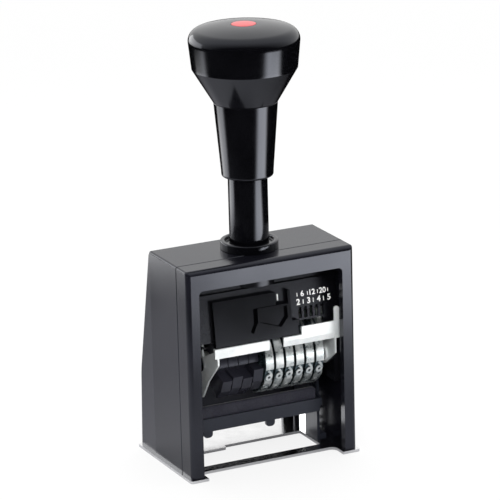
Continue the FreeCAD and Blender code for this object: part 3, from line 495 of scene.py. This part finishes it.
def arc_through(start, middle, end):
    """Points along the arc from a start through a middle to an end."""
    steps = 12
    (ax, ay), (bx, by), (cx, cy) = start, middle, end
    scale = 2 * (ax * (by - cy) + bx * (cy - ay) + cx * (ay - by))
    a, b, c = ax ** 2 + ay ** 2, bx ** 2 + by ** 2, cx ** 2 + cy ** 2
    x = (a * (by - cy) + b * (cy - ay) + c * (ay - by)) / scale
    y = (a * (cx - bx) + b * (ax - cx) + c * (bx - ax)) / scale
    radius = math.hypot(ax - x, ay - y)
    first = math.atan2(ay - y, ax - x)
    last = math.atan2(cy - y, cx - x)
    angles = [first + (last - first) * step / steps for step in range(steps + 1)]
    return [(x + radius * math.cos(angle), y + radius * math.sin(angle)) for angle in angles]


def solid_text(characters, height, depth):
    """Raised figures about their own middle, as a mesh, from sizes in millimetres."""
    capital_share = 0.7
    weight = 0.035
    curve = bpy.data.curves.new("figures", "FONT")
    curve.body = characters
    curve.size = height * MM / capital_share
    curve.extrude = depth * MM / 2
    curve.offset = height * MM * weight
    curve.align_x = "CENTER"
    curve.resolution_u = 6
    holder = bpy.data.objects.new("figures", curve)
    bpy.context.scene.collection.objects.link(holder)
    bpy.context.view_layer.update()
    mesh = bpy.data.meshes.new_from_object(holder)
    bpy.data.objects.remove(holder)
    bpy.data.curves.remove(curve)
    xs = [v.co.x for v in mesh.vertices]
    ys = [v.co.y for v in mesh.vertices]
    middle = Vector(((min(xs) + max(xs)) / 2, (min(ys) + max(ys)) / 2, 0))
    mesh.transform(Matrix.Translation(-middle))
    return mesh


# Finishes of the CAD pieces, with the round on their edges in millimetres

for name, look in (("front_frame", housing_black), ("rear_housing", housing_black),
                   ("rear_cover", cover_black_painted_lighter)):
    painted(nodes[name], look)

wheel_names = ["number_wheel_" + str(index + 1) for index in range(WHEEL_COUNT)]
disc_names = ["blank_disc_" + str(index + 1) for index in range(BLANK_COUNT)]
for look, edge_round, names in (
        (nickel, 0.2, ["base_plate"]),
        (handle_black, 0.3, ["collar_nut"]),
        (tray_black, 0.2, ["left_tray_bracket", "right_tray_bracket", "ink_tray"]),
        (steel, 0.2, ["tray_pivots"]),
        (steel, 0.15, ["tie_rod", "rod_nut", "wheel_axle", "key_rod", "pawl_shaft", "frame_screws"]),
        (carriage_black, 0.18, ["carriage", "indicator_plate"]),
        (selector_black, 0.18, ["repeat_selector", "selector_tab"]),
        (zinc, 0.12, ["bearing_plate", "pointer_tab", "index_comb", "advance_pawl", "axle_spacer"]),
        (plate_zinc_painted_bright, 0.12, ["left_frame_plate", "right_frame_plate"]),
        (disc_black, 0.25, disc_names),
        (wheel_metal, 0.12, wheel_names)):
    for name in names:
        painted(nodes[name], look)
        softened(nodes[name], edge_round)


# Collar and base screws

collar_bore_r = STEM_R + COLLAR_GAP
spigot_foot = HOUSING_TOP - COLLAR_SPIGOT_LENGTH
dish_floor = COLLAR_TOP - COLLAR_DISH_DEPTH
collar = rounded_profile([
    (collar_bore_r, spigot_foot, 0), (COLLAR_SPIGOT_R, spigot_foot, 0),
    (COLLAR_SPIGOT_R, HOUSING_TOP, COLLAR_SPIGOT_ROUND),
    (COLLAR_R, HOUSING_TOP, COLLAR_FOOT_ROUND), (COLLAR_R, COLLAR_TOP, COLLAR_TOP_ROUND),
    (COLLAR_LIP_R, COLLAR_TOP, COLLAR_LIP_ROUND), (COLLAR_DISH_R, dish_floor, COLLAR_DISH_ROUND),
    (collar_bore_r, dish_floor, 0)])
finished("collar_ring", lathed(collar), handle_black, "housing",
         ["guide_collar"])


def cross_head(x, y):
    """A countersunk screw with a cross recess, flush with the underside."""
    def build(shape):
        rings = [ring_at(shape, radius, z, 32, x, y)
                 for radius, z in ((SCREW_HEAD_R, SCREW_FACE), (SCREW_NECK_R, SCREW_NECK),
                                   (SCREW_TIP_R, SCREW_TIP))]
        w = CROSS_HALF_W
        r = CROSS_REACH
        cross = [(w, w), (w, r), (-w, r), (-w, w), (-r, w), (-r, -w), (-w, -w), (-w, -r), (w, -r),
                 (w, -w), (r, -w), (r, w)]
        rim = [shape.verts.new(row(x + a, y + b, SCREW_FACE)) for a, b in cross]
        floor = [shape.verts.new(row(x + a * CROSS_TAPER, y + b * CROSS_TAPER, CROSS_FLOOR))
                 for a, b in cross]
        for low, high in ((rings[0], rings[1]), (rings[1], rings[2]), (rim, floor)):
            walled(shape, low, high)
        shape.faces.new(floor)
        shape.faces.new(rings[2])
        edges = [e for ring in (rings[0], rim) for e in shape.edges
                 if e.verts[0] in ring and e.verts[1] in ring]
        bmesh.ops.triangle_fill(shape, use_beauty=True, edges=edges)
    return mesh_of(build)


joined("base_screw_heads", [cross_head(side * x, y) for side in (-1, 1) for x, y in SCREW_PLACES],
       steel, "housing", ["base_screws"])


# Return springs, closed at both ends

def spring(side):
    """A coil with dead turns at its ends, as a round wire swept along it."""
    steps = 20
    sides = 10
    foot = SPRING_FOOT + SPRING_WIRE / 2
    head = SPRING_HEAD - SPRING_WIRE / 2
    live_turns = SPRING_TURNS - 2 * SPRING_DEAD_TURNS
    live_length = head - foot - 2 * SPRING_DEAD_TURNS * SPRING_DEAD_PITCH

    def level(turn):
        low = min(turn, SPRING_DEAD_TURNS) * SPRING_DEAD_PITCH
        high = max(turn - (SPRING_TURNS - SPRING_DEAD_TURNS), 0) * SPRING_DEAD_PITCH
        middle = min(max(turn - SPRING_DEAD_TURNS, 0), live_turns)
        return foot + low + high + live_length * middle / live_turns

    def build(shape):
        rings = []
        for step in range(SPRING_TURNS * steps + 1):
            turn = step / steps
            angle = 2 * math.pi * turn
            away = Vector((math.cos(angle), math.sin(angle), 0))
            centre = Vector((side * SPRING_X, SPRING_Y, level(turn))) + away * SPRING_MEAN_R
            ring = []
            for corner in range(sides):
                around = 2 * math.pi * corner / sides
                out = away * math.cos(around) + Vector((0, 0, 1)) * math.sin(around)
                ring.append(shape.verts.new(row(*(centre + out * SPRING_WIRE / 2))))
            rings.append(ring)
        for low, high in zip(rings, rings[1:]):
            walled(shape, low, high)
        shape.faces.new(rings[0])
        shape.faces.new(rings[-1])
    return smoothed(mesh_of(build), 60)


for side, word in ((-1, "left"), (1, "right")):
    coil = finished(word + "_coil", spring(side), wire_steel, "housing",
                    [word + "_return_spring"])
    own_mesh(coil)


# Handle

stem_bore_r = STEM_R - STEM_WALL
stem = rounded_profile([(stem_bore_r, STEM_FOOT, 0), (STEM_R, STEM_FOOT, STEM_ROUND),
                        (STEM_R, STEM_TOP, 0), (stem_bore_r, STEM_TOP, 0)])
finished("stem", lathed(stem), handle_black, "plunger", ["stem_tube"])

grip_bore_r = STEM_R + GRIP_GAP
grip = rounded_profile([(grip_bore_r, GRIP_FOOT, 0), (GRIP_FOOT_R, GRIP_FOOT, GRIP_FOOT_ROUND),
                        (GRIP_BAND_R, GRIP_FOOT + GRIP_BAND_H, 0)], steps=10)
grip += [(GRIP_RIM_R, GRIP_TOP - GRIP_RIM_DROP), (GRIP_TOP_R, GRIP_TOP), (ROD_HOLE_R, GRIP_TOP),
         (ROD_HOLE_R, STEM_TOP), (grip_bore_r, STEM_TOP)]
finished("grip", lathed(grip), handle_black, "plunger", ["grip_sleeve"])

knob = [(0.0, ROD_HOLE_TOP), (ROD_HOLE_R, ROD_HOLE_TOP), (ROD_HOLE_R, GRIP_TOP),
        (GRIP_TOP_R, GRIP_TOP), KNOB_FOOT]
knob += rounded_profile([(*KNOB_CONE_FOOT, 0), (*KNOB_CONE_TOP, KNOB_CONE_ROUND),
                         (*KNOB_BAND_FOOT, 0)])
knob += KNOB_BAND_RINGS
knob += arc_through(KNOB_BAND_TOP, KNOB_SHOULDER, KNOB_CROWN_RIM)
knob += arc_through(KNOB_CROWN_RIM, KNOB_CROWN, KNOB_CROWN_EDGE)[1:]
knob += [(BUTTON_HOLE_R, BUTTON_HOLE_EDGE), (BUTTON_HOLE_R, BUTTON_FLOOR), (0.0, BUTTON_FLOOR)]
finished("knob", lathed(knob, segments=200), handle_black, "plunger",
         ["knob_head"])

button = rounded_profile([(0.0, BUTTON_FLOOR, 0), (BUTTON_R, BUTTON_FLOOR, 0),
                          (BUTTON_R, BUTTON_RIM, BUTTON_RIM_ROUND)] + BUTTON_CROWN)
finished("knob_button", lathed(button, segments=96), button_red, "plunger",
         ["knob_insert"])


# Figures on the leaning face

leaning = Matrix.Translation(row(0, LEAN_Y, LEAN_Z)) @ Matrix.Rotation(-LEAN, 4, "X") \
    @ Matrix.Rotation(math.radians(90), 4, "X")


def on_face(characters, x, height, size):
    """Figures on the indicator plate, at a height up its face."""
    mesh = solid_text(characters, size, FIGURE_PROUD)
    mesh.transform(leaning @ Matrix.Translation(Vector((x, height, -PLATE_DEPTH)) * MM))
    return mesh


def scale_row(figures, height, size, tick_aside, tick_height, tick_size):
    """A row of the scale, with a tick above or below each figure."""
    made = []
    for number, x in figures:
        made.append(on_face(number, x, height, size))
        made.append(on_face("I", x + tick_aside, tick_height, tick_size))
    return made


scale = scale_row(LOW_FIGURES, height=13.4, size=2.5, tick_aside=-0.3, tick_height=16.6,
                  tick_size=1.5)
scale += scale_row(HIGH_FIGURES, height=16.8, size=2.3, tick_aside=0.2, tick_height=13.2,
                   tick_size=1.8)
scale.append(on_face("1", FIRST_FIGURE_X, height=17.0, size=2.6))
joined("plate_figures", scale, numeral_white, "plunger")


# Raised, mirrored digits on the wheels

def digit_on(index, place):
    """One digit of a wheel, at its place counted from the one that faces the paper."""
    turn = math.pi / 2 - place * 2 * math.pi / DIGIT_COUNT
    value = (place - PLAIN_PLACE) % DIGIT_COUNT
    depth = DIGIT_DEPTH - DIGIT_SEAT
    mesh = solid_text(str(value), DIGIT_H, depth)
    across = Vector((1, 0, 0))
    up = Vector((0, math.sin(turn), -math.cos(turn)))
    out = Vector((0, -math.cos(turn), -math.sin(turn)))
    centre = row(FIRST_WHEEL_X + index * WHEEL_PITCH, AXLE_Y, AXLE_Z) \
        + out * (WHEEL_R - DIGIT_DEPTH + depth / 2) * MM
    turned = Matrix((across, up, out)).transposed().to_4x4()
    narrowed = Matrix.Diagonal((DIGIT_NARROWING, 1, 1, 1))
    mesh.transform(Matrix.Translation(centre) @ turned @ narrowed)
    mesh.flip_normals()
    return mesh


for index in range(WHEEL_COUNT):
    digits = [digit_on(index, place) for place in range(DIGIT_COUNT) if place != PLAIN_PLACE]
    joined("wheel_digits_" + str(index + 1), digits, wheel_metal,
           "wheel_" + str(index + 1))


# Ink pad

def felt_pad():
    """A block of felt with a soft, slightly uneven top that follows the tray."""
    lo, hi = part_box("ink_pad")
    x0 = lo.x / MM + PAD_SIDE_GAP
    x1 = hi.x / MM - PAD_SIDE_GAP

    def build(shape):
        rings = []
        for column in range(PAD_COLUMNS + 1):
            x = x0 + (x1 - x0) * (column / PAD_COLUMNS)
            from_end = min(column, PAD_COLUMNS - column)
            end_sink = PAD_END_SINK * math.exp(-from_end * PAD_END_FALL)
            ring = []
            for step, (y, z) in enumerate(PAD_OUTLINE):
                wave = PAD_WAVE * math.sin(column * PAD_WAVE_TURN + step)
                wave += PAD_RIPPLE * math.sin(column * PAD_RIPPLE_TURN - step * 2)
                is_top = 0 < step < len(PAD_OUTLINE) - 1
                sink = end_sink + PAD_SINK + abs(wave) if is_top else 0
                ring.append(shape.verts.new(row(x, y, z - sink)))
            rings.append(ring)
        for low, high in zip(rings, rings[1:]):
            walled(shape, low, high)
        shape.faces.new(rings[0])
        shape.faces.new(rings[-1])
    return smoothed(mesh_of(build), 50)


pad = finished("felt_pad", felt_pad(), pad_felt, "tray", ["ink_pad"])


# Floor

def along(tree, vector, direction):
    """How far a vector reaches along a direction."""
    node = tree.nodes.new("ShaderNodeVectorMath")
    node.operation = "DOT_PRODUCT"
    node.inputs[1].default_value = direction
    tree.links.new(vector, node.inputs[0])
    return node.outputs["Value"]


def combined(tree, operation, first, second):
    """Two values, each a number or another node's output, put together by an operation."""
    node = tree.nodes.new("ShaderNodeMath")
    node.operation = operation
    for slot, value in enumerate((first, second)):
        if isinstance(value, float):
            node.inputs[slot].default_value = value
        else:
            tree.links.new(value, node.inputs[slot])
    return node.outputs["Value"]


def panel(tree, place, side, start, full, edge, strength):
    """A patch of painted light lying on the floor, at an angle round the object from its front."""
    angle = math.radians(side)
    ahead = along(tree, place, (math.sin(angle), -math.cos(angle), 0))
    across = along(tree, place, (math.cos(angle), math.sin(angle), 0))
    aside = combined(tree, "ABSOLUTE", across, 0.0)
    near = combined(tree, "POWER", ranged(tree, ahead, 0, 1, start, full), 2.0)
    far = ranged(tree, ahead, strength, 0, *PANEL_FADE)
    beside = ranged(tree, aside, 1, 0, *edge)
    return combined(tree, "MULTIPLY", near, combined(tree, "MULTIPLY", far, beside))


def stage_material():
    """White to the camera, with the object's shadow; in gloss it shows painted shade and the studio's
    panels as painted light.
    """
    made, tree, shader = material("stage_white")
    place = tree.nodes.new("ShaderNodeTexCoord").outputs["Object"]
    ray = tree.nodes.new("ShaderNodeLightPath")
    distance = tree.nodes.new("ShaderNodeVectorMath")
    distance.operation = "DISTANCE"
    distance.inputs[1].default_value = FLOOR_CENTRE
    tree.links.new(place, distance.inputs[0])
    # In gloss the floor's colour is painted shade: lighter in front, darker behind the object, and
    # fading to near black away from it
    reach = ranged(tree, distance.outputs["Value"], 0, 1, *MIRRORED_FADE)
    behind = ranged(tree, along(tree, place, AWAY), 0, 1, *BEHIND_FADE)
    near = blended(tree, behind, (0.66, 0.66, 0.68), (0.38, 0.38, 0.41))
    mirrored = blended(tree, reach, near, (0.004, 0.004, 0.004))
    tree.links.new(blended(tree, ray.outputs["Is Glossy Ray"], (0.86, 0.86, 0.86), mirrored),
                   shader.inputs["Base Color"])
    # The panels are painted light: the floor glows there, in gloss only
    right_panel = panel(tree, place, side=37, start=0.10, full=0.29, edge=(0.085, 0.165),
                        strength=6.5)
    rear_panel = panel(tree, place, side=-137, start=0.26, full=0.34, edge=(0.11, 0.18),
                       strength=3.6)
    panels = combined(tree, "ADD", right_panel, rear_panel)
    tree.links.new(combined(tree, "MULTIPLY", panels, ray.outputs["Is Glossy Ray"]),
                   shader.inputs["Emission Strength"])
    shader.inputs["Emission Color"].default_value = (1, 1, 1, 1)
    shader.inputs["Roughness"].default_value = 1.0
    shader.inputs["Specular IOR Level"].default_value = 0.0
    glow = add(tree, "ShaderNodeEmission", Strength=1.0)
    mix = tree.nodes.new("ShaderNodeMixShader")
    white = ranged(tree, distance.outputs["Value"], *WHITE_SHARE, *WHITE_FADE)
    tree.links.new(combined(tree, "MULTIPLY", ray.outputs["Is Camera Ray"], white), mix.inputs["Fac"])
    tree.links.new(shader.outputs["BSDF"], mix.inputs[1])
    tree.links.new(glow.outputs["Emission"], mix.inputs[2])
    tree.links.new(mix.outputs["Shader"], tree.nodes["Material Output"].inputs["Surface"])
    return made


def floor_shape(shape):
    """A level square, in metres."""
    half = FLOOR_HALF
    corners = [(-half, -half), (half, -half), (half, half), (-half, half)]
    shape.faces.new([shape.verts.new((x, y, 0)) for x, y in corners])


floor = bpy.data.objects.new("floor", mesh_of(floor_shape))
bpy.context.scene.collection.objects.link(floor)
floor.data.materials.append(stage_material())


# Sky and lamps

world = bpy.data.worlds.new("studio")
bpy.context.scene.world = world
world.use_nodes = True
tree = world.node_tree
background = tree.nodes["Background"]
sky = Vector(AWAY) * math.cos(SKY_HEIGHT) + Vector((0, 0, math.sin(SKY_HEIGHT)))
toward = along(tree, tree.nodes.new("ShaderNodeTexCoord").outputs["Generated"], sky)
dome = ranged(tree, toward, *DOME_LEVEL, *DOME_FADE)
seen = tree.nodes.new("ShaderNodeLightPath").outputs["Is Camera Ray"]
tree.links.new(combined(tree, "MAXIMUM", seen, dome), background.inputs["Strength"])
background.inputs["Color"].default_value = (1, 1, 1, 1)


def area_light(name, place, target, width, height, radiance, in_gloss):
    """A soft lamp out of the camera's sight, which either lights surfaces or shows in gloss."""
    lamp = bpy.data.lights.new(name, "AREA")
    lamp.shape = "RECTANGLE"
    lamp.size = width
    lamp.size_y = height
    lamp.energy = radiance * math.pi * width * height
    holder = bpy.data.objects.new(name, lamp)
    holder.location = place
    holder.rotation_euler = (Vector(target) - Vector(place)).to_track_quat("-Z", "Y").to_euler()
    holder.visible_camera = False
    holder.visible_glossy = in_gloss
    holder.visible_diffuse = not in_gloss
    bpy.context.scene.collection.objects.link(holder)


area_light("top", place=(0.10, 0.35, 0.70), target=(0, 0, 0.05), width=0.8, height=0.8,
           radiance=1.5, in_gloss=False)
area_light("front", place=(-0.30, -0.80, 0.55), target=(0, 0, 0.1), width=0.5, height=0.5,
           radiance=9.0, in_gloss=False)
area_light("back", place=(-0.45, 0.80, 0.24), target=(0, 0, 0.24), width=1.0, height=0.46,
           radiance=1.9, in_gloss=True)


# Camera

back = Vector((0, 0, 1)) * math.sin(ELEVATION) - Vector(AWAY) * math.cos(ELEVATION)
right = Vector(ACROSS)
up = back.cross(right)
rolled_right = right * math.cos(ROLL) + up * math.sin(ROLL)
rolled_up = up * math.cos(ROLL) - right * math.sin(ROLL)
turn = Matrix((rolled_right, rolled_up, back)).transposed().to_4x4()
camera = bpy.data.objects.new("camera", bpy.data.cameras.new("camera"))
camera.data.lens = CAMERA_LENS
camera.data.sensor_width = CAMERA_SENSOR
camera.data.clip_end = 20
camera.matrix_world = Matrix.Translation(row(*CAMERA_TARGET) + back * CAMERA_DISTANCE) @ turn
bpy.context.scene.collection.objects.link(camera)
bpy.context.scene.camera = camera

bpy.context.scene.view_settings.view_transform = "Standard"
